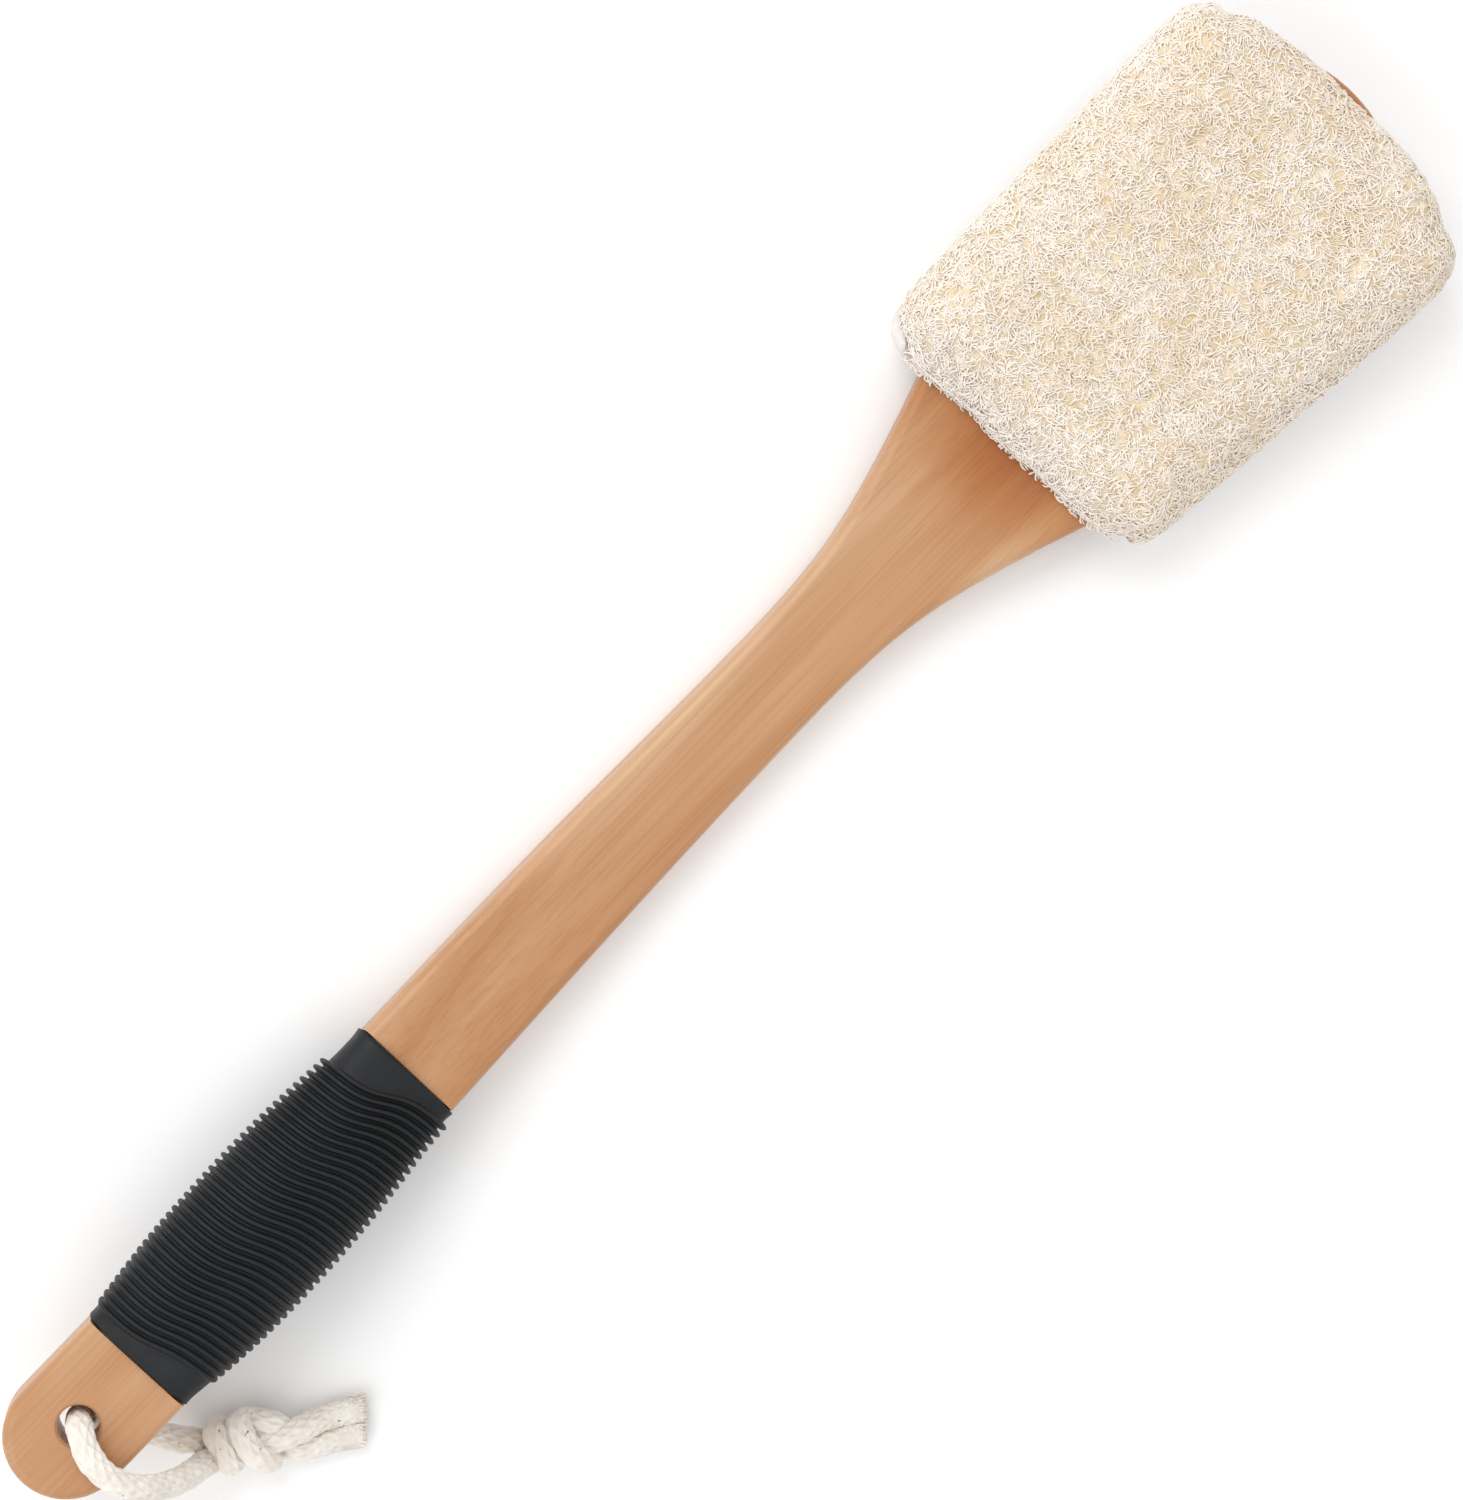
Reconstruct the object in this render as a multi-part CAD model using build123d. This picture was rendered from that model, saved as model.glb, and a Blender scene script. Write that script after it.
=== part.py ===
from build123d import *
from math import asin, cos, degrees, pi, radians, sin, tan
import os

# A back scrubber that lies on its back. X runs along the handle from the hanging end to the head,
# Z is up, out of the scrubbing face, and Y = 0 is the middle of the handle. Stations are millimetres
# from the hanging end. The last step moves everything to the middle of the object's footprint.

# Handle: one bent wooden bar that widens into a thin paddle
HEAD_START = 336.0  # from here to the tip the paddle is straight and of one thickness
HANDLE_LENGTH = 452.0
HEAD_SLOPE = 5.0  # degrees above the surface it lies on
HEAD_START_HEIGHT = 10.7
HANDLE_HALF_THICKNESS = 6.5
PADDLE_HALF_THICKNESS = 5.0
END_RADIUS = 15.0
EDGE_ROUNDING = 2.4
HOLE_STATION = 19.0
HOLE_RADIUS = 5.0
HOLE_BEVEL = 0.6
REACH = 200.0  # more than any size across the object, for cutting right through it
# heights of the bar's middle line above the surface, and its half widths
BEND = [
    (-4, 28.3), (38, 27.9), (70, 25.5), (112, 18.6), (154, 11.6), (194, 7.4), (230, 6.5), (285, 7.6),
]
TAPER_START = 250.0
WAIST = [
    (38, 14.9), (135, 14.1), (200, 13.1), (250, 12.2), (272, 12.4), (290, 14.1), (313, 19.7), (332, 25.9),
]
PADDLE_SIDE = [(348, 31.2), (380, 35.0)]
PADDLE_TIP = [(416, 32.0), (440, 22.0)]

# Grip: a moulded rubber sleeve with ribs, seated in a shallow recess of the wood
GRIP_START = 38.5
GRIP_END = 130.0
CORE_WIDTH = 24.0
CORE_HEIGHT = 10.6
CORE_CORNER = 3.0
CORE_OVERRUN = 2.0  # the core's own shape reaches this far into the full bar at both ends
# share of the grip's length, width, height and corner radius of its smooth body
GRIP_SECTIONS = [
    (0.0, 30.0, 14.4, 5.0),
    (0.12, 31.6, 19.6, 7.6),
    (0.32, 34.0, 25.0, 10.6),
    (0.52, 34.8, 26.4, 11.6),
    (0.74, 32.6, 23.6, 10.2),
    (0.9, 29.4, 17.6, 7.4),
    (1.0, 29.0, 14.4, 5.4),
]
RIB_COUNT = 37
RIB_FIRST = 0.06
RIB_LAST = 0.93
RIB_THICKNESS = 1.3
RIB_HEIGHT = 1.6

# Pad: a sleeve of loofah and cloth that slips over the paddle, open at both ends.
# Its own X runs along the paddle from HEAD_START, and its own Z stands on the paddle.
PAD_OUTLINE = [(-2.0, 41.2), (3.0, -41.6), (110.0, -49.6), (112.0, 42.8)]
PAD_FRONT = 15.4
PAD_BACK = 10.65
CAVITY_LEFT = 36.0
CAVITY_RIGHT = -36.6
CAVITY_HALF_HEIGHT = 5.4
CAVITY_CORNER = 4.0
PAD_SIDE_ROUNDING = 9.5
PAD_TOP_CROWN = 3.0
STITCH_RADIUS = 0.4
STITCH_LENGTH = 4.0
STITCH_PITCH = 5.0
STITCH_PROUD = 0.3
STITCH_END_BEVEL = 0.2

# Cord: one limp cotton rope through the hole, knotted on itself, with two short tails
CORD_RADIUS = 3.0
CORD_ROUTE = [
    (31.2, -29.4, 5.8), (28.0, -24.2, 7.6), (24.8, -18.0, 9.8), (22.0, -11.4, 12.4), (19.8, -4.8, 14.6),
    (18.9, -0.5, 20.4), (19.1, 0.3, 30.0), (18.9, -1.0, 37.8), (16.3, -5.8, 39.4), (15.6, -12.0, 39.8),
    (17.0, -17.8, 38.8), (19.6, -23.0, 34.0), (23.0, -27.4, 26.0), (27.0, -30.8, 17.2), (30.6, -33.2, 11.2),
]
KNOT_CENTRE = (36.8, -35.7, 7.0)
KNOT_SIZE = (19.4, 16.0, 13.6)
KNOT_TURN = -47.0
TAIL_ROUTES = {
    "cord_tail_upper": [(43.6, -39.4, 7.0), (49.0, -43.0, 5.0), (54.8, -46.8, 3.8), (60.6, -50.6, 3.3)],
    "cord_tail_lower": [(39.2, -43.4, 4.8), (44.8, -47.6, 3.8), (50.8, -52.6, 3.4), (57.0, -57.4, 3.3)],
}


def bend_curve(offset=0.0, taper=0.0):
    """The bar's middle line in the X-Z plane, or a line offset above it that closes in by taper."""
    points = []
    for x, z in BEND:
        share = max(0.0, (x - TAPER_START) / (HEAD_START - TAPER_START))
        points.append((x, z + offset - taper * share))
    points.append((HEAD_START, HEAD_START_HEIGHT + offset - taper))
    slope = (cos(radians(HEAD_SLOPE)), sin(radians(HEAD_SLOPE)))
    return Spline(*points, tangents=[(1, 0), slope])


BEND_LINE = bend_curve()


def station_plane(x):
    """A plane across the bar at a station: its X is the bar's width and its Y is the bar's thickness."""
    low, high = 0.0, 1.0
    for _ in range(40):
        middle = (low + high) / 2
        if (BEND_LINE @ middle).X < x:
            low = middle
        else:
            high = middle
    point = BEND_LINE @ low
    along = BEND_LINE % low
    return Plane((point.X, 0, point.Y), x_dir=(0, -1, 0), z_dir=(along.X, 0, along.Y))


def head_location():
    return Location((HEAD_START, 0, HEAD_START_HEIGHT), (0, -HEAD_SLOPE, 0))


def side_profile():
    """The bar seen from the side, as a face to be pushed out to both sides."""
    beyond = HANDLE_LENGTH + 10
    rise = (beyond - HEAD_START) * tan(radians(HEAD_SLOPE))
    thinner = HANDLE_HALF_THICKNESS - PADDLE_HALF_THICKNESS
    top = bend_curve(HANDLE_HALF_THICKNESS, thinner)
    bottom = bend_curve(-HANDLE_HALF_THICKNESS, -thinner)
    top_line = Line(top @ 1, (beyond, HEAD_START_HEIGHT + PADDLE_HALF_THICKNESS + rise))
    bottom_line = Line(bottom @ 1, (beyond, HEAD_START_HEIGHT - PADDLE_HALF_THICKNESS + rise))
    closing = [Line(top @ 0, bottom @ 0), Line(top_line @ 1, bottom_line @ 1)]
    return make_face([top, bottom, top_line, bottom_line] + closing)


def plan_outline():
    """The bar and its paddle seen from above."""
    side = [(END_RADIUS, END_RADIUS)] + WAIST + PADDLE_SIDE
    left = Spline(*side, tangents=[(1, 0), (1, 0)])
    tip = Spline(PADDLE_SIDE[-1], *PADDLE_TIP, (HANDLE_LENGTH, 0), tangents=[(1, 0), (0, -1)])
    end = CenterArc((END_RADIUS, 0), END_RADIUS, 90, 90)
    half = Curve() + [left, tip, end]
    return make_face(half.edges() + mirror(half, Plane.XZ).edges())


def core():
    """The wood inside the grip, a little slimmer than the bar."""
    first = GRIP_START - CORE_OVERRUN
    step = (GRIP_END - GRIP_START + 2 * CORE_OVERRUN) / 4
    section = RectangleRounded(CORE_WIDTH, CORE_HEIGHT, CORE_CORNER)
    return loft([station_plane(first + index * step) * section for index in range(5)])


def grip_zone():
    """All the space between the two ends of the grip."""
    section = Rectangle(REACH, REACH / 2)
    return loft([station_plane(GRIP_START) * section, station_plane(GRIP_END) * section], ruled=True)


def hanging_hole():
    """The shape that the hanging hole takes away: a round bore with a small bevel at each face."""
    across = station_plane(HOLE_STATION)
    beyond = HANDLE_HALF_THICKNESS
    face = HANDLE_HALF_THICKNESS - HOLE_BEVEL
    bevel = [(HOLE_RADIUS, face), (HOLE_RADIUS + HOLE_BEVEL + beyond, face + HOLE_BEVEL + beyond)]
    upper = Polyline((0, 0), (HOLE_RADIUS, 0), *bevel, (0, face + HOLE_BEVEL + beyond), close=True)
    half = revolve(Plane.XZ * make_face(upper), Axis.Z)
    return Plane(across.origin, x_dir=(0, 1, 0), z_dir=-across.y_dir) * (half + mirror(half, Plane.XY))


def handle():
    """The bar with rounded edges, its hanging hole and the recess that the grip sits in."""
    from_side = extrude(Plane.XZ.offset(-REACH) * side_profile(), 2 * REACH)
    from_above = extrude(Plane.XY.offset(-REACH) * plan_outline(), 2 * REACH)
    bar = from_side & from_above
    long_edges = bar.edges().filter_by(lambda edge: edge.length > 2 * HANDLE_HALF_THICKNESS + 2)
    bar = fillet(long_edges, EDGE_ROUNDING)
    return bar - hanging_hole() - (grip_zone() - core())


def rounded_section(x, width, height, corner):
    return station_plane(x) * RectangleRounded(width, height, corner)


def grip_size(share):
    """Width, height and corner radius of the grip's smooth body at a share of its length."""
    for low, high in zip(GRIP_SECTIONS, GRIP_SECTIONS[1:]):
        if share <= high[0]:
            blend = (share - low[0]) / (high[0] - low[0])
            return [a + blend * (b - a) for a, b in zip(low[1:], high[1:])]
    return GRIP_SECTIONS[-1][1:]


def grip_sleeve(wood):
    """The rubber sleeve: a barrel with moulded ribs round it, over the slimmer core of the handle."""
    length = GRIP_END - GRIP_START
    body = loft([rounded_section(GRIP_START + share * length, *size) for share, *size in GRIP_SECTIONS])
    pitch = (RIB_LAST - RIB_FIRST) / (RIB_COUNT - 1)
    ribs = []
    for index in range(RIB_COUNT):
        share = RIB_FIRST + index * pitch
        size = [value + growth * RIB_HEIGHT for value, growth in zip(grip_size(share), (2, 2, 1))]
        section = rounded_section(GRIP_START + share * length, *size)
        ribs.append(extrude(section, RIB_THICKNESS / 2, both=True))
    return (body + ribs) - wood


def pad_block():
    """The whole pad before it is split into its layers, in the pad's own frame."""
    lower_left, lower_right, upper_right, upper_left = PAD_OUTLINE
    crown = ((upper_left[0] + upper_right[0]) / 2 + PAD_TOP_CROWN, (upper_left[1] + upper_right[1]) / 2)
    sides = [Line(upper_left, lower_left), Line(lower_left, lower_right), Line(lower_right, upper_right)]
    outline = make_face(sides + [ThreePointArc(upper_right, crown, upper_left)])
    block = extrude(Plane.XY.offset(-PAD_BACK) * outline, PAD_BACK + PAD_FRONT)
    shortest_side = lower_left[1] - lower_right[1]
    lengthwise = block.edges().filter_by(
        lambda edge: edge.length > shortest_side and abs((edge % 0.5).X) > abs((edge % 0.5).Y)
    )
    return fillet(lengthwise, PAD_SIDE_ROUNDING)


def pad_layers():
    """The loofah over the paddle and the cloth under it, with a straight-sided cavity between them."""
    block = pad_block()
    middle = (CAVITY_LEFT + CAVITY_RIGHT) / 2
    cavity = RectangleRounded(CAVITY_LEFT - CAVITY_RIGHT, 2 * CAVITY_HALF_HEIGHT, CAVITY_CORNER)
    block -= extrude(Plane((-REACH, middle, 0), x_dir=(0, 1, 0), z_dir=(1, 0, 0)) * cavity, 2 * REACH)
    below = Pos(0, 0, -REACH - CAVITY_HALF_HEIGHT) * Box(2 * REACH, 2 * REACH, 2 * REACH)
    place = head_location()
    return place * (block - below), place * (block & below)


def seam_stitches(low_corner, high_corner):
    """A row of short stitches that joins the pad's two layers, on its rounded side edge."""
    side = 1 if low_corner[1] > 0 else -1
    above_centre = PAD_SIDE_ROUNDING - PAD_BACK + CAVITY_HALF_HEIGHT
    lean = degrees(asin(above_centre / PAD_SIDE_ROUNDING))
    inset = PAD_SIDE_ROUNDING * (1 - cos(radians(lean))) - STITCH_PROUD
    start = Vector(low_corner[0], low_corner[1] - side * inset, -CAVITY_HALF_HEIGHT)
    end = Vector(high_corner[0], high_corner[1] - side * inset, -CAVITY_HALF_HEIGHT)
    count = int((end - start).length / STITCH_PITCH)
    stitch = Cylinder(STITCH_RADIUS, STITCH_LENGTH)
    stitch = chamfer(stitch.edges().filter_by(GeomType.CIRCLE), STITCH_END_BEVEL)
    spots = [start + (end - start) * ((index + 0.5) / count) for index in range(count)]
    return [head_location() * Location(spot, (-side * lean, 0, 0)) * stitch for spot in spots]


def corner_radii(route):
    """The largest arc that each corner's two runs allow."""
    points = [Vector(point) for point in route]
    radii = []
    for before, corner, after in zip(points, points[1:], points[2:]):
        turn = radians((corner - before).get_angle(after - corner))
        shorter = min((corner - before).length, (after - corner).length)
        radii.append(0.45 * shorter / tan(turn / 2))
    return radii


def rope(name, route):
    radii = corner_radii(route)
    path = FilletPolyline(*route, radius=radii)
    tube = sweep(Plane(path @ 0, z_dir=path % 0) * Circle(CORD_RADIUS), path=path)
    share = tube.volume / (pi * CORD_RADIUS**2 * path.length)
    print(f"{name}: length {path.length:.1f} mm, volume over section times length {share:.4f}")
    print("radii", ", ".join(f"{radius:.1f}" for radius in radii))
    return tube


def knot():
    """The outer shape of the tight double overhand knot."""
    x_size, y_size, z_size = KNOT_SIZE
    ball = scale(Sphere(0.5), by=(x_size, y_size, z_size))
    return Location(KNOT_CENTRE, (0, 0, KNOT_TURN)) * ball


def all_parts():
    wood = handle()
    loofah, cloth = pad_layers()
    lower_left, lower_right, upper_right, upper_left = PAD_OUTLINE
    parts = {
        "handle": wood,
        "grip_sleeve": grip_sleeve(wood),
        "loofah_face": loofah,
        "backing_cloth": cloth,
        "left_seam_stitches": Compound(seam_stitches(lower_left, upper_left)),
        "right_seam_stitches": Compound(seam_stitches(lower_right, upper_right)),
        "hanging_cord": rope("hanging_cord", CORD_ROUTE),
        "cord_knot": knot(),
    }
    for name, route in TAIL_ROUTES.items():
        parts[name] = rope(name, route)
    return parts


def middle_of_footprint(shapes):
    """The point under the middle of these shapes' common box, at its lowest level."""
    boxes = [shape.bounding_box() for shape in shapes]
    low = [min(tuple(box.min)[axis] for box in boxes) for axis in range(3)]
    high = [max(tuple(box.max)[axis] for box in boxes) for axis in range(3)]
    return Vector((low[0] + high[0]) / 2, (low[1] + high[1]) / 2, low[2])


def main():
    os.makedirs("parts", exist_ok=True)
    parts = all_parts()
    origin = middle_of_footprint([shape for name, shape in parts.items() if "cord" not in name])
    print("origin", origin)
    for name, shape in parts.items():
        moved = Pos(-origin) * shape
        print(name, moved.is_valid, round(moved.volume), moved.bounding_box())
        export_step(moved, f"parts/{name}.step")


if __name__ == "__main__":
    main()
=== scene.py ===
from math import cos, pi, radians, sin

import bmesh
import bpy
import numpy as np
from mathutils import Matrix, Vector, noise
from mathutils.bvhtree import BVHTree


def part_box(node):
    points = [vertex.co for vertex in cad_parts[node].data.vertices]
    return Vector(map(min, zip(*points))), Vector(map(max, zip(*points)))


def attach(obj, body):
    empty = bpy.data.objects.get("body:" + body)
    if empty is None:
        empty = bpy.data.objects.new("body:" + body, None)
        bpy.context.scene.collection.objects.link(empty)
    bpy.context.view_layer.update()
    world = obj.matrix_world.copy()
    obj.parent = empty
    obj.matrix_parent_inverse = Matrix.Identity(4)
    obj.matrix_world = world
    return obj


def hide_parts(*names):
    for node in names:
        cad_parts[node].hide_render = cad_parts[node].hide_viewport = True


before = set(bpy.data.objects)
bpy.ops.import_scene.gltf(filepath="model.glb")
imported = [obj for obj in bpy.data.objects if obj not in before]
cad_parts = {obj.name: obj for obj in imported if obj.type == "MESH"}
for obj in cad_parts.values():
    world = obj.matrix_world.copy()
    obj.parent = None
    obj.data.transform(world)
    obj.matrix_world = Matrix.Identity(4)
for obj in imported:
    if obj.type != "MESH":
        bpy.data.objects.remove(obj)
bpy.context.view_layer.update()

# A back scrubber that lies on its back. Everything is made in the row frame, in metres. Helpers take
# millimetres from the hanging end, to the left of the handle's middle and above the floor.
MM = 0.001
HANDLE_LOW, HANDLE_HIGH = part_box("handle")
HANDLE_MIDDLE = (HANDLE_LOW.y + HANDLE_HIGH.y) / 2


def at(station, side, height):
    return Vector((HANDLE_LOW.x + station * MM, HANDLE_MIDDLE + side * MM, height * MM))


# ------------------------------------------------------------------ camera

CAMERA_DISTANCE = 1.0
CAMERA_TILT = radians(8)  # off the straight view down, towards the handle's left
CAMERA_TURN = radians(46.05)  # how far the handle's length stands above the picture's horizontal
SENSOR_MM = 36.0
LENS_MM = 102.13
CAMERA_AIM = (238.5, -1.12, 28.0)


def add_camera():
    along = Vector((1, 0, 0))
    back = Vector((0, sin(CAMERA_TILT), cos(CAMERA_TILT)))
    across = Vector((0, cos(CAMERA_TILT), -sin(CAMERA_TILT)))
    right = cos(CAMERA_TURN) * along - sin(CAMERA_TURN) * across
    up = sin(CAMERA_TURN) * along + cos(CAMERA_TURN) * across
    data = bpy.data.cameras.new("camera")
    data.sensor_width = SENSOR_MM
    data.lens = LENS_MM
    camera = bpy.data.objects.new("camera", data)
    bpy.context.scene.collection.objects.link(camera)
    place = Matrix((right, up, back)).transposed().to_4x4()
    place.translation = at(*CAMERA_AIM) + back * CAMERA_DISTANCE
    camera.matrix_world = place
    bpy.context.scene.camera = camera


add_camera()


# ------------------------------------------------------------------ mesh helpers

UP = [0.0, 0.0, 1.0]


def new_object(name, points, faces):
    mesh = bpy.data.meshes.new(name)
    mesh.from_pydata(np.asarray(points).tolist(), [], [list(face) for face in faces])
    mesh.shade_smooth()
    piece = bpy.data.objects.new(name, mesh)
    bpy.context.scene.collection.objects.link(piece)
    return piece


def grid_faces(rows, columns):
    """Quads of a grid whose columns close into a ring."""
    row, column = np.meshgrid(np.arange(rows - 1), np.arange(columns), indexing="ij")
    start = row * columns
    following = (column + 1) % columns
    corners = [start + column, start + following, start + columns + following, start + columns + column]
    return np.stack(corners, -1).reshape(-1, 4)


def closed_tube(name, rings):
    """A tube through rings of points, with a fan over each end. rings is an array [ring, side, xyz]."""
    count, sides = rings.shape[:2]
    middles = [rings[0].mean(0), rings[-1].mean(0)]
    points = np.vstack([rings.reshape(-1, 3), middles])
    faces = grid_faces(count, sides).tolist()
    first, last = count * sides, count * sides + 1
    for side in range(sides):
        following = (side + 1) % sides
        faces.append((first, following, side))
        faces.append((last, (count - 1) * sides + side, (count - 1) * sides + following))
    return new_object(name, points, faces)


def unit(vectors):
    return vectors / np.maximum(np.linalg.norm(vectors, axis=-1, keepdims=True), 1e-12)


def fine_tubes(name, paths, ups, radii, sides=4):
    """Many thin tubes in one mesh. paths is [tube, point, xyz], ups a direction for each tube."""
    along = unit(np.gradient(paths, axis=1))
    across = unit(np.cross(along, ups[:, None, :]))
    over = np.cross(across, along)
    turns = 2 * pi * np.arange(sides) / sides
    swing = np.cos(turns)[:, None] * across[:, :, None, :] + np.sin(turns)[:, None] * over[:, :, None, :]
    points = paths[:, :, None, :] + radii[:, :, None, None] * swing
    count, length = paths.shape[:2]
    one = grid_faces(length, sides)
    faces = (one[None] + (np.arange(count) * length * sides)[:, None, None]).reshape(-1, 4)
    return new_object(name, points.reshape(-1, 3), faces)


def evaluated_copy(source, name):
    """The source object's mesh with its modifiers applied, as a new object. The source goes."""
    mesh = bpy.data.meshes.new_from_object(source.evaluated_get(bpy.context.evaluated_depsgraph_get()))
    piece = bpy.data.objects.new(name, mesh)
    bpy.context.scene.collection.objects.link(piece)
    bpy.data.objects.remove(source)
    return piece


# ------------------------------------------------------------------ material helpers

def as_light(level):
    """A screen level between 0 and 1 as an amount of light, as the sRGB standard has it."""
    return level / 12.92 if level <= 0.04045 else ((level + 0.055) / 1.055) ** 2.4


def rgb(code):
    """A linear colour from the #RRGGBB code of a screen colour."""
    levels = [int(code[index:index + 2], 16) / 255 for index in (1, 3, 5)]
    return [as_light(level) for level in levels] + [1]


# where Blender's Mix node keeps its factor, its two colours and its result
MIX_INPUTS = (0, 6, 7)
MIX_RESULT = 2


class Paint:
    """A node material: each method adds a node and gives its output."""

    def __init__(self, name, roughness, sheen=0.0, coat=0.0, coat_roughness=0.2, specular=0.5):
        self.material = bpy.data.materials.new(name)
        self.material.use_nodes = True
        self.nodes = self.material.node_tree.nodes
        self.links = self.material.node_tree.links
        self.shader = self.nodes["Principled BSDF"]
        self.shader.inputs["Roughness"].default_value = roughness
        self.shader.inputs["Sheen Weight"].default_value = sheen
        self.shader.inputs["Sheen Roughness"].default_value = 0.6
        self.shader.inputs["Coat Weight"].default_value = coat
        self.shader.inputs["Coat Roughness"].default_value = coat_roughness
        self.shader.inputs["Specular IOR Level"].default_value = specular

    def place(self, scale=(1, 1, 1)):
        where = self.nodes.new("ShaderNodeTexCoord")
        mapping = self.nodes.new("ShaderNodeMapping")
        mapping.inputs["Scale"].default_value = scale
        self.links.new(where.outputs["Object"], mapping.inputs["Vector"])
        return mapping.outputs["Vector"]

    def noise(self, vector, scale, detail=2.0, roughness=0.5, distortion=0.0):
        node = self.nodes.new("ShaderNodeTexNoise")
        node.inputs["Scale"].default_value = scale
        node.inputs["Detail"].default_value = detail
        node.inputs["Roughness"].default_value = roughness
        node.inputs["Distortion"].default_value = distortion
        self.links.new(vector, node.inputs["Vector"])
        return node.outputs["Fac"]

    def cells(self, vector, scale, feature="F1"):
        node = self.nodes.new("ShaderNodeTexVoronoi")
        node.feature = feature
        node.inputs["Scale"].default_value = scale
        self.links.new(vector, node.inputs["Vector"])
        return node.outputs["Distance"]

    def ramp(self, value, stops):
        """Colours or greys between positions: stops are (position, code or grey level)."""
        node = self.nodes.new("ShaderNodeValToRGB")
        elements = node.color_ramp.elements
        while len(elements) < len(stops):
            elements.new(0.5)
        for element, (position, shade) in zip(elements, stops):
            element.position = position
            element.color = rgb(shade) if isinstance(shade, str) else (shade, shade, shade, 1)
        self.links.new(value, node.inputs["Fac"])
        return node.outputs["Color"]

    def mix(self, share, first, second, kind="MIX"):
        node = self.nodes.new("ShaderNodeMix")
        node.data_type = "RGBA"
        node.blend_type = kind
        for place, value in zip(MIX_INPUTS, (share, first, second)):
            if isinstance(value, bpy.types.NodeSocket):
                self.links.new(value, node.inputs[place])
            else:
                node.inputs[place].default_value = value
        return node.outputs[MIX_RESULT]

    def span(self, axis, low, high):
        """0 to 1 along an object axis, between two coordinates in metres."""
        where = self.nodes.new("ShaderNodeTexCoord")
        split = self.nodes.new("ShaderNodeSeparateXYZ")
        node = self.nodes.new("ShaderNodeMapRange")
        node.inputs["From Min"].default_value = low
        node.inputs["From Max"].default_value = high
        self.links.new(where.outputs["Object"], split.inputs[0])
        self.links.new(split.outputs[axis], node.inputs["Value"])
        return node.outputs["Result"]

    def near(self, place, reach):
        """1 at a place and 0 from reach metres off."""
        where = self.nodes.new("ShaderNodeTexCoord")
        apart = self.nodes.new("ShaderNodeVectorMath")
        apart.operation = "DISTANCE"
        apart.inputs[1].default_value = place
        node = self.nodes.new("ShaderNodeMapRange")
        node.interpolation_type = "SMOOTHSTEP"
        node.inputs["From Min"].default_value = reach
        node.inputs["From Max"].default_value = 0.0
        self.links.new(where.outputs["Object"], apart.inputs[0])
        self.links.new(apart.outputs["Value"], node.inputs["Value"])
        return node.outputs["Result"]

    def color(self, value):
        self.links.new(value, self.shader.inputs["Base Color"])

    def roughness(self, value):
        self.links.new(value, self.shader.inputs["Roughness"])

    def bump(self, *layers):
        """Heights stacked as bumps: each layer is (height, depth in metres, strength)."""
        normal = None
        for height, depth, strength in layers:
            node = self.nodes.new("ShaderNodeBump")
            node.inputs["Distance"].default_value = depth
            node.inputs["Strength"].default_value = strength
            self.links.new(height, node.inputs["Height"])
            if normal:
                self.links.new(normal, node.inputs["Normal"])
            normal = node.outputs["Normal"]
        self.links.new(normal, self.shader.inputs["Normal"])


def finish_with(piece, paint):
    piece.data.materials.clear()
    piece.data.materials.append(paint.material)


# ------------------------------------------------------------------ cords

# in millimetres, apart from counts, shares and angles
ROPE_DIAMETER = 6.0
ROPE_RADIUS = ROPE_DIAMETER / 2
ROPE_SIDES = 64
ROPE_STEP = 0.36  # millimetres between the rope's rings
ANY_SIDE = (0.3, 0.9, 0.1)  # a direction that no leg of the rope starts along

# the rope's surface: a braid of strands, yarns on each strand, and slow changes of thickness
ROPE_SWELL = 0.12
BRAID_PITCH = 4.0
BRAID_STRANDS = 8
BRAID_RELIEF = 0.85
BRAID_MIDDLE = 0.9  # the braid's usual level, as a share of its crest
YARNS = 16
YARN_RELIEF = 0.09
THICKNESS_WAVES = [(0.09, 0.71, 1), (0.07, 1.9, 2)]  # height, radians a millimetre, share of the seed

# the opened end of each tail: its braid fades, its yarns stand out more, and it lies wider and flatter
OPEN_LENGTH = 14.0
OPEN_BRAID_LOSS = 0.8
OPEN_YARN_GAIN = 3
OPEN_CURVE = 1.4
OPEN_FLATTENING = 0.42
FLOOR_GAP = 0.15

# the loose threads of each opened end
THREADS = 110
THREAD_ROOT = (1.0, 3.0)  # how far back inside the rope a thread begins
THREAD_REACH = (0.1, 0.9)  # how far it stands out of the end
THREAD_SPREAD = 0.12
THREAD_SCATTER = 0.05
THREAD_BOW = 0.15
THREAD_RADIUS = (0.16, 0.26)
THREAD_TAPER = [1, 1, 1, 1, 0.9, 0.5]
THREAD_SIDES = 5
THREAD_FLOOR_GAP = 0.35

# both legs start in the hanging hole, on its axis
IN_HOLE = (19.0, 0.0, 26.0)
BACK_LEG = [
    IN_HOLE, (18.9, -0.5, 20.4), (19.8, -4.8, 14.6), (22.0, -11.4, 12.4), (24.8, -18.0, 9.8),
    (27.4, -24.0, 8.6),
]
FRONT_LEG = [
    IN_HOLE, (19.1, 0.3, 31.0), (18.9, -1.0, 37.8), (16.3, -5.8, 39.4), (15.6, -12.0, 39.8),
    (17.0, -17.8, 38.8), (19.6, -23.0, 34.0), (23.0, -27.4, 26.0), (26.2, -30.2, 17.4),
]
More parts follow.
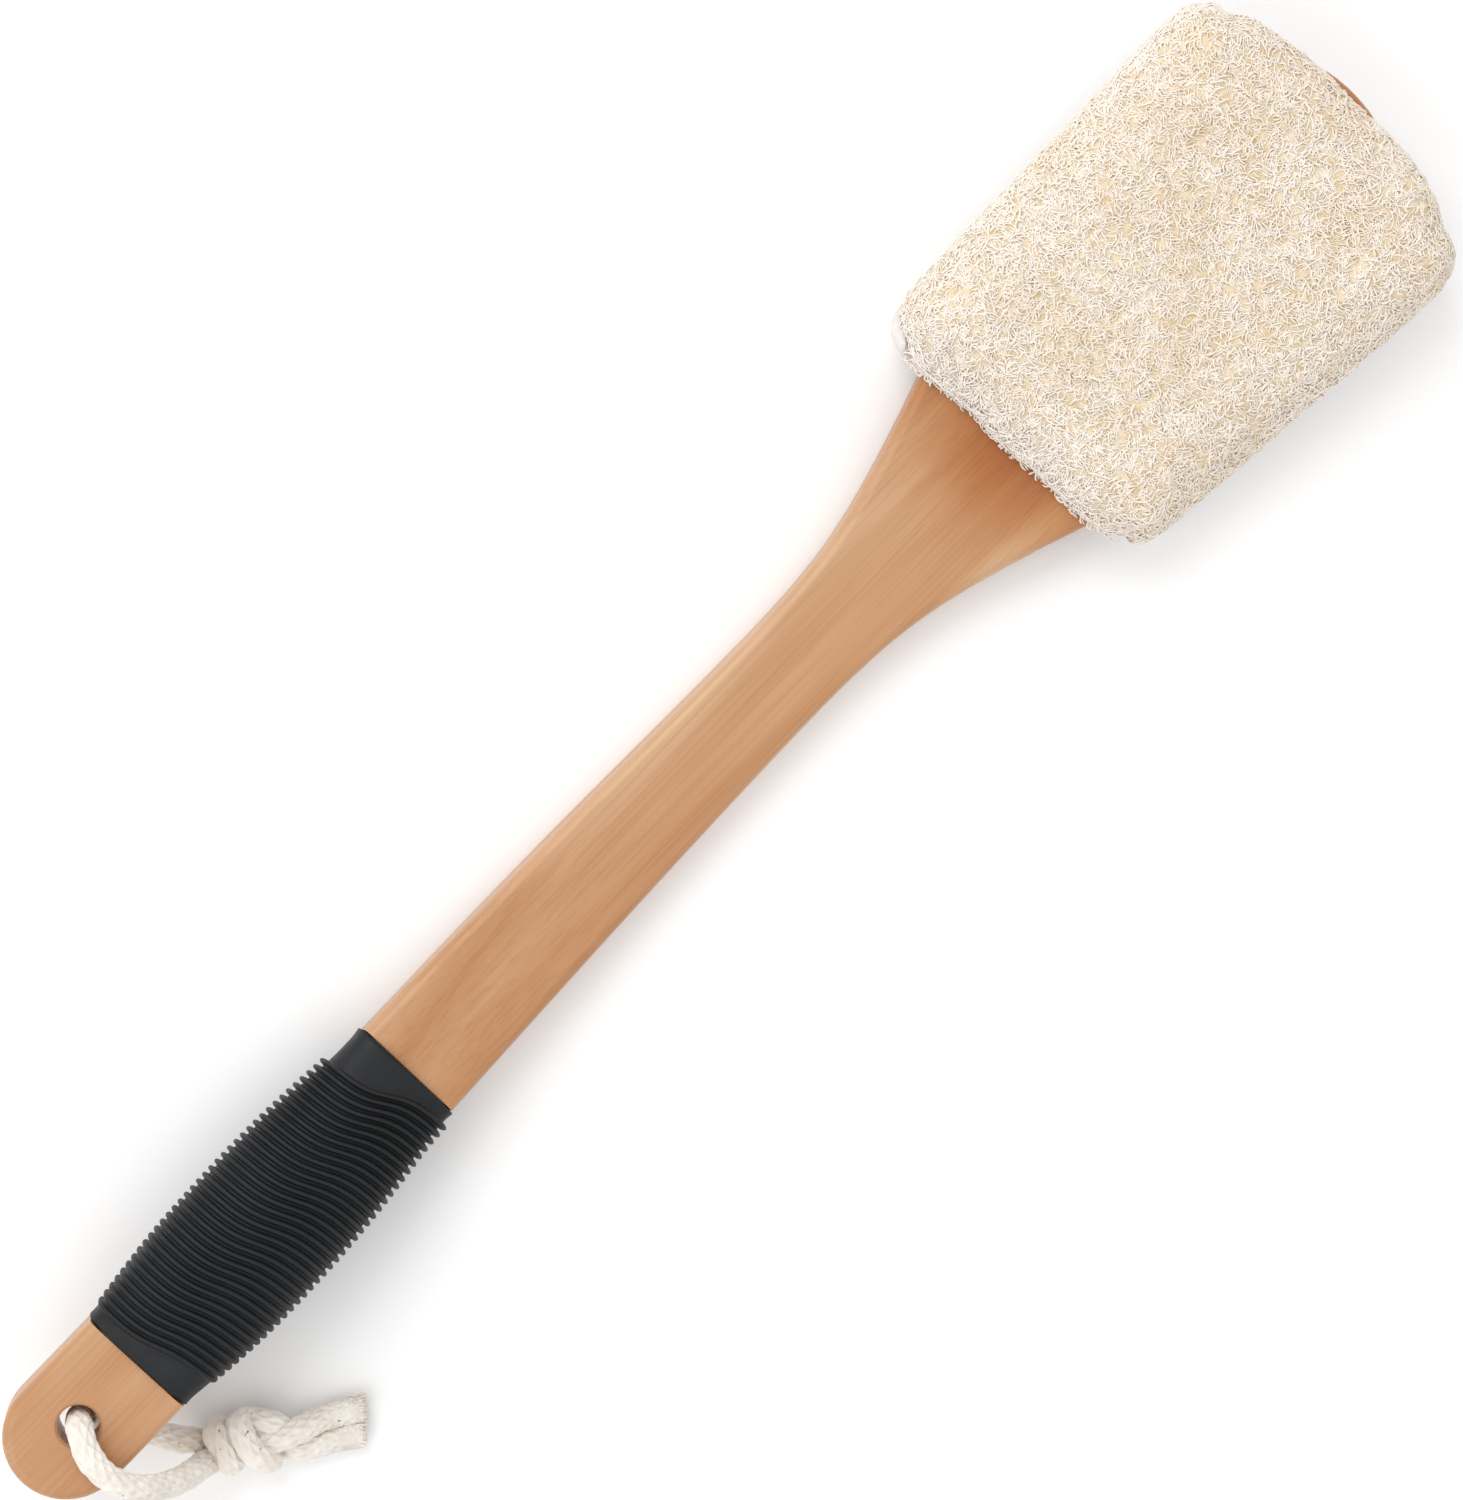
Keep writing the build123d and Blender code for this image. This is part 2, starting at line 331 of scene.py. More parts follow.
# the ways through the knot and on along the tails: along it, across it and up from its middle
KNOT_CENTRE = (36.8, -35.7, 7.0)
KNOT_TURN = radians(-47)
KNOT_WRAPS = [
    (-12.0, 0.8, -0.6), (-9.0, -1.4, -3.2), (-5.2, -4.0, -3.0), (-2.6, -5.0, 0.4), (-4.2, -2.8, 4.0),
    (-6.0, 1.0, 4.2), (-7.0, 3.6, 1.8), (-5.6, 3.2, -2.2), (-1.6, 0.4, -3.6), (3.4, -2.6, -3.6),
    (6.8, -4.2, -1.2), (5.6, -4.0, 2.6), (2.4, -1.6, 4.8), (-0.2, 2.2, 4.8), (-1.6, 5.2, 2.4),
    (0.6, 5.8, -0.8), (4.6, 5.0, 0.4), (8.2, 4.4, 0.0), (10.2, 1.6, -2.4), (10.8, -1.2, -2.8),
]
LOWER_TAIL = [
    (13.0, -2.2, -2.2), (17.0, -1.4, -3.2), (21.0, -0.4, -3.6), (25.0, 0.6, -3.7), (28.6, 1.0, -3.7),
]
KNOT_CORE = [(-9.6, -4.2, 3.2), (-6.4, -3.4, 0.6), (-1.5, -1.4, 0.0), (4.0, -0.4, 0.6)]
UPPER_TAIL = [
    (8.0, 1.2, 1.6), (12.0, 2.6, 1.2), (16.0, 4.4, -1.2), (20.5, 6.0, -3.2), (25.0, 6.8, -3.6),
    (28.6, 7.0, -3.7),
]


def in_knot(along, across, up):
    x, y, z = KNOT_CENTRE
    return (
        x + cos(KNOT_TURN) * along - sin(KNOT_TURN) * across,
        y + sin(KNOT_TURN) * along + cos(KNOT_TURN) * across,
        z + up,
    )


def nurbs_line(name, route):
    """Points at even steps along the smooth curve of a route, in metres."""
    curve = bpy.data.curves.new(name, "CURVE")
    curve.dimensions = "3D"
    spline = curve.splines.new("NURBS")
    spline.points.add(len(route) - 1)
    for point, place in zip(spline.points, route):
        point.co = (*at(*place), 1)
    spline.order_u = 3
    spline.use_endpoint_u = True
    spline.resolution_u = 16
    holder = bpy.data.objects.new(name, curve)
    bpy.context.scene.collection.objects.link(holder)
    bpy.context.view_layer.update()
    drawn = bpy.data.meshes.new_from_object(holder)
    line = np.array([vertex.co for vertex in drawn.vertices])
    bpy.data.meshes.remove(drawn)
    bpy.data.objects.remove(holder)
    bpy.data.curves.remove(curve)
    gone = np.concatenate([[0], np.cumsum(np.linalg.norm(np.diff(line, axis=0), axis=1))])
    steps = np.linspace(0, gone[-1], int(gone[-1] / (ROPE_STEP * MM)))
    return np.stack([np.interp(steps, gone, line[:, axis]) for axis in range(3)], -1), gone[-1]


def carried_frames(line):
    """The line's direction and two across it at each point, which turn as little as they can."""
    along = unit(np.gradient(line, axis=0))
    across = np.zeros_like(line)
    across[0] = unit(np.cross(along[0], ANY_SIDE))
    for index in range(1, len(line)):
        flat = across[index - 1] - along[index] * (across[index - 1] @ along[index])
        across[index] = unit(flat)
    return along, across, np.cross(along, across)


def rope_radius(gone, loose, turns, seed):
    """The rope's radius in millimetres for each ring and side. loose is 1 where the braid is open."""
    phase = 2 * pi * gone[:, None] / BRAID_PITCH
    left = np.abs(np.cos((BRAID_STRANDS * turns + phase) / 2))
    right = np.abs(np.cos((BRAID_STRANDS * turns - phase) / 2))
    braid = BRAID_RELIEF * (1 - OPEN_BRAID_LOSS * loose) * (np.maximum(left, right) - BRAID_MIDDLE)
    twist = np.where(left > right, 1, -1) * (1 - loose) * YARNS / BRAID_STRANDS
    yarns = YARN_RELIEF * (1 + OPEN_YARN_GAIN * loose) * np.cos(YARNS * turns + twist * phase)
    waves = sum(height * np.sin(gone * rate + start * seed) for height, rate, start in THICKNESS_WAVES)
    return ROPE_RADIUS + ROPE_SWELL + waves[:, None] + braid + yarns


def rope_offsets(frames, gone, loose, flare, seed):
    """The rope's surface about its line, [ring, side, xyz]. Its end opens sideways and lies flat."""
    along, across, over = frames
    turns = 2 * pi * np.arange(ROPE_SIDES) / ROPE_SIDES
    radius = rope_radius(gone, loose[:, None], turns, seed) * MM
    swing = np.cos(turns)[:, None] * across[:, None, :] + np.sin(turns)[:, None] * over[:, None, :]
    offset = radius[:, :, None] * swing
    sideways = unit(np.cross(along, UP))
    wide = (offset * sideways[:, None, :]).sum(-1) * (flare * loose**OPEN_CURVE)[:, None]
    offset += wide[:, :, None] * sideways[:, None, :]
    offset[:, :, 2] *= (1 - OPEN_FLATTENING * loose)[:, None]
    return offset


def end_threads(name, tip, along, edge, seed):
    """The loose threads of a cut end. edge holds the offsets of the rope's last ring from its tip."""
    random = np.random.default_rng(seed)
    edge = edge[random.integers(0, ROPE_SIDES, THREADS)]
    depth = np.sqrt(random.random(THREADS))[:, None]
    back = random.uniform(*THREAD_ROOT, (THREADS, 1)) * MM
    root = tip + edge * depth - along * back
    spread = THREAD_SPREAD * edge * depth / (ROPE_RADIUS * MM)
    heading = unit(along + (spread + random.normal(0, THREAD_SCATTER, (THREADS, 3))))
    reach = back + random.uniform(*THREAD_REACH, (THREADS, 1)) * MM
    bow = random.normal(0, THREAD_BOW, (THREADS, 3)) * MM
    steps = np.linspace(0, 1, len(THREAD_TAPER))
    paths = np.stack([root + heading * reach * t + bow * t * t for t in steps], 1)
    paths[:, :, 2] = np.maximum(paths[:, :, 2], THREAD_FLOOR_GAP * MM)
    radii = random.uniform(*THREAD_RADIUS, (THREADS, 1)) * MM * np.array(THREAD_TAPER)
    return fine_tubes(name, paths, np.tile(UP, (THREADS, 1)), radii, THREAD_SIDES)


def rope(name, route, flare, seed):
    """A braided cord with an opened, square-cut end, and the loose threads of that end."""
    line, length = nurbs_line(name, route)
    frames = carried_frames(line)
    gone = np.linspace(0, length, len(line)) / MM
    loose = np.clip((gone - (gone[-1] - OPEN_LENGTH)) / OPEN_LENGTH, 0, 1)
    offset = rope_offsets(frames, gone, loose, flare, seed)
    rings = line[:, None, :] + offset
    rings[:, :, 2] = np.maximum(rings[:, :, 2], FLOOR_GAP * MM)
    cord = closed_tube(name, rings)
    threads = end_threads(name + "_threads", line[-1], frames[0][-1], offset[-1], seed)
    return cord, threads, line, length


def cotton_rope_paint():
    paint = Paint("cotton_rope", 0.92, sheen=0.25, specular=0.2)
    where = paint.place()
    cloudy = paint.ramp(paint.noise(where, 160, 3), [(0.3, "#E4DBCF"), (0.62, "#F3EDE4")])
    specks = paint.ramp(paint.noise(where, 620, 0, 0.3), [(0.135, 0.0), (0.15, 1.0)])
    paint.color(paint.mix(specks, rgb("#8F857A"), cloudy))
    paint.bump((paint.noise(where, 2600, 2), 0.00012, 0.6), (paint.noise(where, 700, 2), 0.0002, 0.4))
    return paint


def add_cords():
    paint = cotton_rope_paint()
    wraps = [in_knot(*place) for place in KNOT_WRAPS + LOWER_TAIL]
    core = [in_knot(*place) for place in KNOT_CORE + UPPER_TAIL]
    # name, route, how far the end opens, seed, and the CAD nodes that it stands for
    halves = [
        ("cord_back_half", BACK_LEG + wraps, 0.02, 3, ["hanging_cord", "cord_knot", "cord_tail_lower"]),
        ("cord_front_half", FRONT_LEG + core, 0.1, 8, ["cord_tail_upper"]),
    ]
    for name, route, flare, seed, nodes in halves:
        cord, threads, line, length = rope(name, route, flare, seed)
        for piece in (cord, threads):
            finish_with(piece, paint)
            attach(piece, "cord")
        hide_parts(*nodes)
        print(name, "length", round(length / MM, 1))


add_cords()


# ------------------------------------------------------------------ wood

PAD_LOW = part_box("loofah_face")[0]
# painted shadow: the pad's shade on the wood, darker and warmer along the pad's lip, most of all in its
# middle, in metres
PAD_SHADOW_START = PAD_LOW.x - 0.016
PAD_SHADOW_END = PAD_LOW.x + 0.004
PAD_SHADOW_MIDDLE = (PAD_LOW.x, HANDLE_MIDDLE, HANDLE_HIGH.z / 2)
PAD_SHADOW_REACH = 0.031


def wood_paint():
    paint = Paint("lacquered_wood", 0.42, coat=0.3, coat_roughness=0.35, specular=0.4)
    bands = paint.noise(paint.place((5, 75, 60)), 1.0, 3, 0.5, 0.3)
    fine = paint.noise(paint.place((11, 1500, 1100)), 1.0, 4, 0.65)
    cloud = paint.noise(paint.place((16, 42, 42)), 1.0, 2)
    base = paint.ramp(bands, [(0.28, "#B58053"), (0.5, "#C29268"), (0.72, "#CFA884")])
    lines = paint.ramp(fine, [(0.3, "#E9E0D6"), (0.55, "#FFFFFF")])
    body = paint.mix(0.7, base, lines, "MULTIPLY")
    body = paint.mix(0.8, body, paint.ramp(cloud, [(0.3, "#F3EADF"), (0.65, "#FFFFFF")]), "MULTIPLY")
    # painted shadow of the pad on the wood: a darker, warmer strip along its lip and a deeper patch in
    # its middle
    shadow_along_lip = paint.span(0, PAD_SHADOW_START, PAD_SHADOW_END)
    body = paint.mix(shadow_along_lip, body, paint.mix(1.0, body, rgb("#EED6B0"), "MULTIPLY"))
    shadow_in_middle = paint.near(PAD_SHADOW_MIDDLE, PAD_SHADOW_REACH)
    paint.color(paint.mix(shadow_in_middle, body, paint.mix(1.0, body, rgb("#E6C28A"), "MULTIPLY")))
    paint.bump((fine, 0.00003, 0.35))
    return paint


finish_with(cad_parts["handle"], wood_paint())


# ------------------------------------------------------------------ grip

# station and height of the handle's middle line through the grip
BEND = [(-4, 28.3), (38, 27.9), (70, 25.5), (112, 18.6), (154, 11.6), (194, 7.4)]
GRIP_START = 38.5
GRIP_END = 130.0
# millimetres from the grip's lower end, width, height and squareness of its smooth body
GRIP_BODY = [
    (0, 30.2, 14.6, 3.4), (11, 32.8, 19.6, 2.9), (24, 35.0, 23.9, 2.6), (40, 35.6, 26.2, 2.4),
    (60, 34.2, 25.2, 2.4), (72, 32.0, 22.6, 2.6), (82.3, 29.8, 17.8, 2.9), (91.5, 29.4, 14.6, 3.4),
]
RIB_COUNT = 37
RIBS_FROM = 5.6
RIBS_TO = 85.4
RIB_SLANT = (2.3, 3.9)  # each rib lies this much lower on the left: at the grip's lower and upper end
RIB_STEEPNESS = 2.4
RIB_SHARE = 0.68  # of the pitch
RIB_HEIGHT = (1.3, 1.7)
RIB_SIDE_SHARE = (0.5, 1.1)  # of that height, at the grip's two sides
RIB_SIDE_FALL = 3
RIB_FULLNESS = 0.36  # a low power makes the rib's crest flat and its flanks steep
RIB_STEPS = 11
COLLAR_ROWS = 9
COLLAR_LIP = 0.35  # the bead at each end stands up this much
COLLAR_LIP_WIDTH = 1.6
END_SHARES = (0.97, 0.9, 0.8)  # rings that close in from each end to the wood
GRIP_SIDES = 168
GRIP_LENGTH = GRIP_END - GRIP_START
GRIP_GAP = 0.35  # a dark line between the rubber's end and the wood


def smooth_value(table, x, column=1):
    """A cubic through a table's values, with slopes from the neighbouring entries."""
    xs = np.array([row[0] for row in table], float)
    ys = np.array([row[column] for row in table], float)
    slopes = np.gradient(ys, xs)
    index = np.clip(np.searchsorted(xs, x) - 1, 0, len(xs) - 2)
    width = xs[index + 1] - xs[index]
    t = (x - xs[index]) / width
    rise = ys[index] * (1 + 2 * t) * (1 - t) ** 2 + ys[index + 1] * t * t * (3 - 2 * t)
    return rise + width * (slopes[index] * t * (1 - t) ** 2 + slopes[index + 1] * t * t * (t - 1))


def grip_rows():
    """For each ring of the grip: its middle place along the grip, and its share of a rib's height."""
    rows = [(u, 0.0) for u in np.linspace(0, RIBS_FROM, COLLAR_ROWS)[:-1]]
    pitch = (RIBS_TO - RIBS_FROM) / RIB_COUNT
    for rib in range(RIB_COUNT):
        for step in range(RIB_STEPS):
            phase = step / RIB_STEPS
            crest = sin(pi * phase / RIB_SHARE) ** RIB_FULLNESS if phase < RIB_SHARE else 0.0
            rows.append((RIBS_FROM + (rib + phase) * pitch, crest))
    rows += [(u, 0.0) for u in np.linspace(RIBS_TO, GRIP_LENGTH, COLLAR_ROWS)]
    return np.array(rows)


def grip_stations(middle, turns):
    """How far along the grip each point lies. The ribs wave from side to side, its ends are straight."""
    slant = RIB_SLANT[0] + (RIB_SLANT[1] - RIB_SLANT[0]) * (middle / GRIP_LENGTH)
    wave = -slant * np.tanh(RIB_STEEPNESS * np.cos(turns)) / np.tanh(RIB_STEEPNESS)
    lower = np.clip(middle / RIBS_FROM, 0, 1)
    upper = np.clip((GRIP_LENGTH - middle) / (GRIP_LENGTH - RIBS_TO), 0, 1)
    u = middle + wave * lower * upper
    return GRIP_GAP + u * (GRIP_LENGTH - 2 * GRIP_GAP) / GRIP_LENGTH


def rib_heights(middle, crest, turns):
    """How far the ribs stand out of the smooth body, which differs on top and at the sides."""
    share = middle / GRIP_LENGTH
    at_side = RIB_SIDE_SHARE[0] + (RIB_SIDE_SHARE[1] - RIB_SIDE_SHARE[0]) * share
    standing = (RIB_HEIGHT[0] + (RIB_HEIGHT[1] - RIB_HEIGHT[0]) * share) * crest
    return standing * (1 + (at_side - 1) * np.abs(np.cos(turns)) ** RIB_SIDE_FALL)


def grip_rings():
    """Rings of points round the bent middle line of the handle."""
    rows = grip_rows()
    turns = 2 * pi * np.arange(GRIP_SIDES) / GRIP_SIDES
    middle, crest = rows[:, 0:1], rows[:, 1:2]
    u = grip_stations(middle, turns)
    width, height, square = (smooth_value(GRIP_BODY, u, column) for column in (1, 2, 3))
    c, s = np.cos(turns), np.sin(turns)
    reach = (np.abs(c) ** square + np.abs(s) ** square) ** (-1 / square)
    standing = rib_heights(middle, crest, turns)
    lip = sum(COLLAR_LIP * np.exp(-(((u - end) / COLLAR_LIP_WIDTH) ** 2)) for end in (0, GRIP_LENGTH))
    side = (width / 2) * reach * c + (standing + lip) * c
    rise = (height / 2) * reach * s + (standing + lip) * s
    station = GRIP_START + u
    lean = np.arctan(smooth_value(BEND, station + 0.5) - smooth_value(BEND, station - 0.5))
    x = HANDLE_LOW.x + (station - rise * np.sin(lean)) * MM
    z = (smooth_value(BEND, station) + rise * np.cos(lean)) * MM
    return np.stack([x, HANDLE_MIDDLE + side * MM, z], -1)


def closing_rings(ring):
    middle = ring.mean(0)
    return [middle + (ring - middle) * share for share in END_SHARES]


def rubber_paint():
    paint = Paint("matte_rubber", 0.55, specular=0.35)
    where = paint.place()
    paint.color(paint.ramp(paint.noise(where, 70, 3), [(0.3, "#121416"), (0.7, "#191B1E")]))
    paint.roughness(paint.ramp(paint.noise(where, 320, 2), [(0.3, 0.48), (0.7, 0.62)]))
    paint.bump((paint.noise(where, 4200, 2), 0.00003, 0.5))
    return paint


def add_grip():
    rings = grip_rings()
    rings = np.concatenate([closing_rings(rings[0])[::-1], rings, closing_rings(rings[-1])])
    grip = closed_tube("rubber_grip", rings)
    finish_with(grip, rubber_paint())
    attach(grip, "wooden_handle")
    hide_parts("grip_sleeve")


add_grip()


# ------------------------------------------------------------------ pad

# the pad's own frame, in millimetres: it starts in the middle of the lower lip, with its x axis along the
# pad and its z axis out of the loofah
PAD_SLOPE = radians(5)
PAD_STATION = 336.0
PAD_HEIGHT = 10.7
# levels in that frame
PADDLE_TOP = 5.0
SEAM_LEVEL = -5.4
PAD_TOP = 15.2
PAD_UNDER = -10.6
# the pocket for the paddle, and the cutter that makes it
CAVITY_SIDES = (-36.6, 36.0)
CAVITY_MIDDLE = -0.3
CAVITY_TOP = 5.4
CUTTER_ENDS = (-60.0, 180.0)
CUTTER_FLOOR = -30.0
# the pad's rim seen from above, with how far each stretch rounds in
FRONT, SIDE, TIP = 14.0, 10.5, 7.0
PAD_RIM = [
    (10.0, 41.5, SIDE), (4.0, 40.9, 12.0), (0.2, 39.0, 12.0), (-1.6, 35.6, 12.0), (-1.8, 31.6, 13.0),
    (-0.6, 27.2, FRONT), (-0.6, 22.6, FRONT), (0.6, 16.6, FRONT), (0.9, 10.6, FRONT), (0.2, 5.0, FRONT),
    (0.6, -2.0, FRONT), (1.2, -9.0, FRONT), (1.6, -15.8, FRONT), (1.4, -21.6, FRONT),
    (1.8, -27.2, FRONT), (2.6, -32.6, 13.0), (3.8, -37.4, 12.0), (5.2, -41.0, 11.0), (9.0, -42.2, SIDE),
    (34.0, -43.6, SIDE), (66.0, -46.2, SIDE), (96.0, -49.0, SIDE), (102.7, -48.6, 9.5),
    (107.6, -46.0, 9.0), (110.1, -41.0, 8.0), (110.4, -35.4, TIP), (112.8, -30.0, TIP),
    (114.4, -22.6, TIP), (115.2, -14.6, TIP), (114.6, -8.0, TIP), (114.0, 0.0, TIP), (114.6, 7.0, TIP),
    (113.9, 16.0, TIP), (112.5, 25.0, TIP), (110.8, 32.3, TIP), (108.4, 38.6, 8.5), (104.0, 42.4, 9.5),
    (96.0, 42.9, SIDE), (66.0, 42.2, SIDE), (36.0, 42.0, SIDE),
]
RIM_STEP = 1.6
RIM_SMOOTHINGS = 3
INWARD_SMOOTHINGS = 6
OPEN_HALF_WIDTH = 37.5  # of the open ends, where the rim lies over the wood
OPEN_BLEND = 8.0
WALL_THICKNESS = 3.2
WALL_FOOT = 0.6
ROUNDING_ROWS = 8

# the cotton is turned up round the loofah at the lower left corner
TURNED_CORNER = 12.0
TURNED_AT = (-1.0, 36.0)
TURNED_SPREAD = (9.0, 8.0)
BACKING_EDGE = 0.3
BACKING_FLOOR_GAP = 0.2

# the loofah's edge stands this far off the seam at its sides and off the pocket at its open ends
SIDE_EDGE = 1.5
OPEN_EDGE = 2.4
CORNER_INSET = 1.3
RIGHT_INSET = 0.7
RIGHT_EDGE = -38.0
RIGHT_BLEND = 1.5

VOXEL = 1.9
CLOTH_FRAMES = 20
CLOTH_CAP = 1.1  # the furthest that the cloth may swell
CLOTH_SETTINGS = {
    "quality": 4, "mass": 0.3, "tension_stiffness": 18, "compression_stiffness": 18,
    "bending_stiffness": 1.2, "use_pressure": True, "uniform_pressure_force": 4.0,
    "vertex_group_mass": "held",
}
HELD_HALF_WIDTH = 37.0  # the pocket's walls, which the simulation leaves alone
HELD_OVER_CAVITY = 0.8
HELD_OVER_SEAM = 1.2
HELD_UNDER_SEAM = 1.0
HELD_OVER_UNDERSIDE = 0.6

FIBRES = 25000
FIBRE_PIECES = 6
FIBRE_POINTS = 5
FIBRE_SIDES = 3
FIBRE_LENGTH = (2.2, 4.0)
FIBRE_RADIUS = 0.23
FIBRE_GIRTH = (0.75, 1.25)  # each fibre's share of that radius
FIBRE_TAPER = ([0, 0.2, 0.8, 1], [0.6, 1, 1, 0.5])  # along the fibre, and its share of its radius there
FIBRE_DEPTH = (-0.3, 0.15)
FIBRE_LIFT = 0.65
FIBRE_ARCH = (0.1, 1.0)  # each fibre's share of that lift
FIBRE_SCATTER = 0.8
FIBRE_CURL = 0.42
FIBRE_WOBBLE = 0.2
SWIRL_SIZE = 4.5
DIAGONAL_SHARE = 0.9  # how much of a face's diagonal its fibres' roots spread over
ANY_WAY = (0.31, 0.17, 0.93)  # a direction that the loofah doesn't face
BARE_HALF_WIDTH = 37.2  # the pocket's walls and the underside, where no fibres lie
BARE_OVER_CAVITY = 0.6
BARE_OVER_SEAM = 0.8

# frayed ends along the open lower lip
FRINGE_THREADS = 900
FRINGE_STEP = 0.5
LIP_END = 8  # the lip is the part of the rim with a lower x
LIP_HALF_WIDTH = 31
FRINGE_ROOT = (-0.2, 5.0)  # how far inside the rim a thread begins
FRINGE_SCATTER = 0.95
FRINGE_LENGTH = (1.6, 4.2)
FRINGE_CURL = 0.7
FRINGE_OVERHANG = (0.1, 1.7)  # the furthest that it may stand out past the rim
FRINGE_LEVEL = PADDLE_TOP + 0.5
FRINGE_RISE = 2.4  # from the wood up on to the loofah
FRINGE_RISE_LENGTH = 1.2
FRINGE_SPREAD = (0.0, 0.9)
FRINGE_GAP = 0.1  # threads nearer the loofah than this are lifted off it, in layers
FRINGE_LIFT = 0.15
FRINGE_LAYER = 0.3
FRINGE_LAYERS = 3
FRINGE_RADIUS = (0.16, 0.27)
FRINGE_TAPER = [0.8, 1, 1, 1, 0.9, 0.5]

# the stitches along both sewn sides
STITCH_STEP = 5.0
STITCH_REACH = 1.9  # half a stitch's length along the seam
STITCH_OUT = 0.3
STITCH_BOW = 0.25
STITCH_LEVEL = SEAM_LEVEL + 0.9
STITCH_SLANT = 0.5
STITCH_RADII = [0.2, 0.36, 0.4, 0.4, 0.4, 0.36, 0.2]
STITCH_SIDES = 8
SEWN_FROM = 8
SEWN_TO = 104
SEWN_SIDE = 40


def on_pad(points):
    """Points of the pad's own frame, in millimetres, as places in the row frame."""
    points = np.asarray(points, float)
    x, y, z = points[..., 0], points[..., 1], points[..., 2]
    station = PAD_STATION + x * cos(PAD_SLOPE) - z * sin(PAD_SLOPE)
    height = PAD_HEIGHT + x * sin(PAD_SLOPE) + z * cos(PAD_SLOPE)
    return np.stack([HANDLE_LOW.x + station * MM, HANDLE_MIDDLE + y * MM, height * MM], -1)


def off_pad(places):
    """The other way: places in the row frame as points of the pad's own frame, in millimetres."""
    places = np.asarray(places, float)
    station = (places[..., 0] - HANDLE_LOW.x) / MM - PAD_STATION
    side = (places[..., 1] - HANDLE_MIDDLE) / MM
    height = places[..., 2] / MM - PAD_HEIGHT
    x = station * cos(PAD_SLOPE) + height * sin(PAD_SLOPE)
    z = height * cos(PAD_SLOPE) - station * sin(PAD_SLOPE)
    return np.stack([x, side, z], -1)


def rim_line(step=RIM_STEP):
    """The rim at even steps: place, inward direction and rounding reach."""
    rim = np.array(PAD_RIM)
    closed = np.vstack([rim, rim[:1]])
    gone = np.concatenate([[0], np.cumsum(np.linalg.norm(np.diff(closed[:, :2], axis=0), axis=1))])
    steps = np.arange(0, gone[-1], step)
    values = np.stack([np.interp(steps, gone, closed[:, column]) for column in range(3)], -1)
    for _ in range(RIM_SMOOTHINGS):
        values = (np.roll(values, 1, 0) + 2 * values + np.roll(values, -1, 0)) / 4
    tangent = np.roll(values[:, :2], -1, 0) - np.roll(values[:, :2], 1, 0)
    inward = np.stack([-tangent[:, 1], tangent[:, 0]], -1)
    centre = values[:, :2].mean(0)
    facing = np.sign(((centre - values[:, :2]) * inward).sum(1).sum())
    inward = unit(inward * facing)
    for _ in range(INWARD_SMOOTHINGS):
        inward = unit(np.roll(inward, 1, 0) + 2 * inward + np.roll(inward, -1, 0))
    return values[:, :2], inward, values[:, 2]


def over_paddle(side):
    """1 where a rim point lies over the wood at an open end, 0 at the sewn sides, smooth between."""
    share = np.clip((OPEN_HALF_WIDTH - np.abs(side - CAVITY_MIDDLE)) / OPEN_BLEND, 0, 1)
    return share * share * (3 - 2 * share)


def rounded_solid(name, base_level, edge_level, far_level, inset, wall):
    """A closed form on the rim: a wall from base to edge level, then a quarter round to the far level.
    Its rim stands wall millimetres off the base, WALL_THICKNESS wide."""
    place, inward, reach = rim_line()
    count = len(place)
    loops = []
    for depth, share in ((WALL_THICKNESS + WALL_FOOT, 0.0), (WALL_THICKNESS, 1.0), (0.0, 1.0)):
        shift = (inset + depth)[:, None]
        loops.append(np.column_stack([place + inward * shift, base_level + share * wall]))
    for row in range(ROUNDING_ROWS):
        turn = row / (ROUNDING_ROWS - 1) * pi / 2
        shift = (inset + reach * (1 - cos(turn)))[:, None]
        level = edge_level + (far_level - edge_level) * sin(turn)
        loops.append(np.column_stack([place + inward * shift, level]))
    points = np.vstack(loops)
    faces = grid_faces(len(loops), count).tolist()
    faces.append(list(range(count))[::-1])
    faces.append(list(range((len(loops) - 1) * count, len(loops) * count)))
    return new_object(name, on_pad(points), faces)


def cavity_box():
    levels = (CUTTER_FLOOR, CAVITY_TOP)
    corners = [(x, y, z) for x in CUTTER_ENDS for y in CAVITY_SIDES for z in levels]
    faces = [(0, 1, 3, 2), (4, 6, 7, 5), (0, 4, 5, 1), (2, 3, 7, 6), (0, 2, 6, 4), (1, 5, 7, 3)]
    return new_object("cavity", on_pad(corners), faces)


def make_normals_face_out(piece):
    work = bmesh.new()
    work.from_mesh(piece.data)
    bmesh.ops.recalc_face_normals(work, faces=work.faces)
    work.to_mesh(piece.data)
    work.free()


def cut_and_remesh(piece, name, cutter=None):
    """The piece less the cutter, as an even mesh of small quads. Both objects go."""
    make_normals_face_out(piece)
    if cutter:
        make_normals_face_out(cutter)
        cut = piece.modifiers.new("cut", "BOOLEAN")
        cut.operation = "DIFFERENCE"
        cut.solver = "EXACT"
        cut.object = cutter
    even = piece.modifiers.new("even", "REMESH")
    even.mode = "VOXEL"
    even.voxel_size = VOXEL * MM
    bpy.context.view_layer.update()
    done = evaluated_copy(piece, name)
    if cutter:
        bpy.data.objects.remove(cutter)
    return done


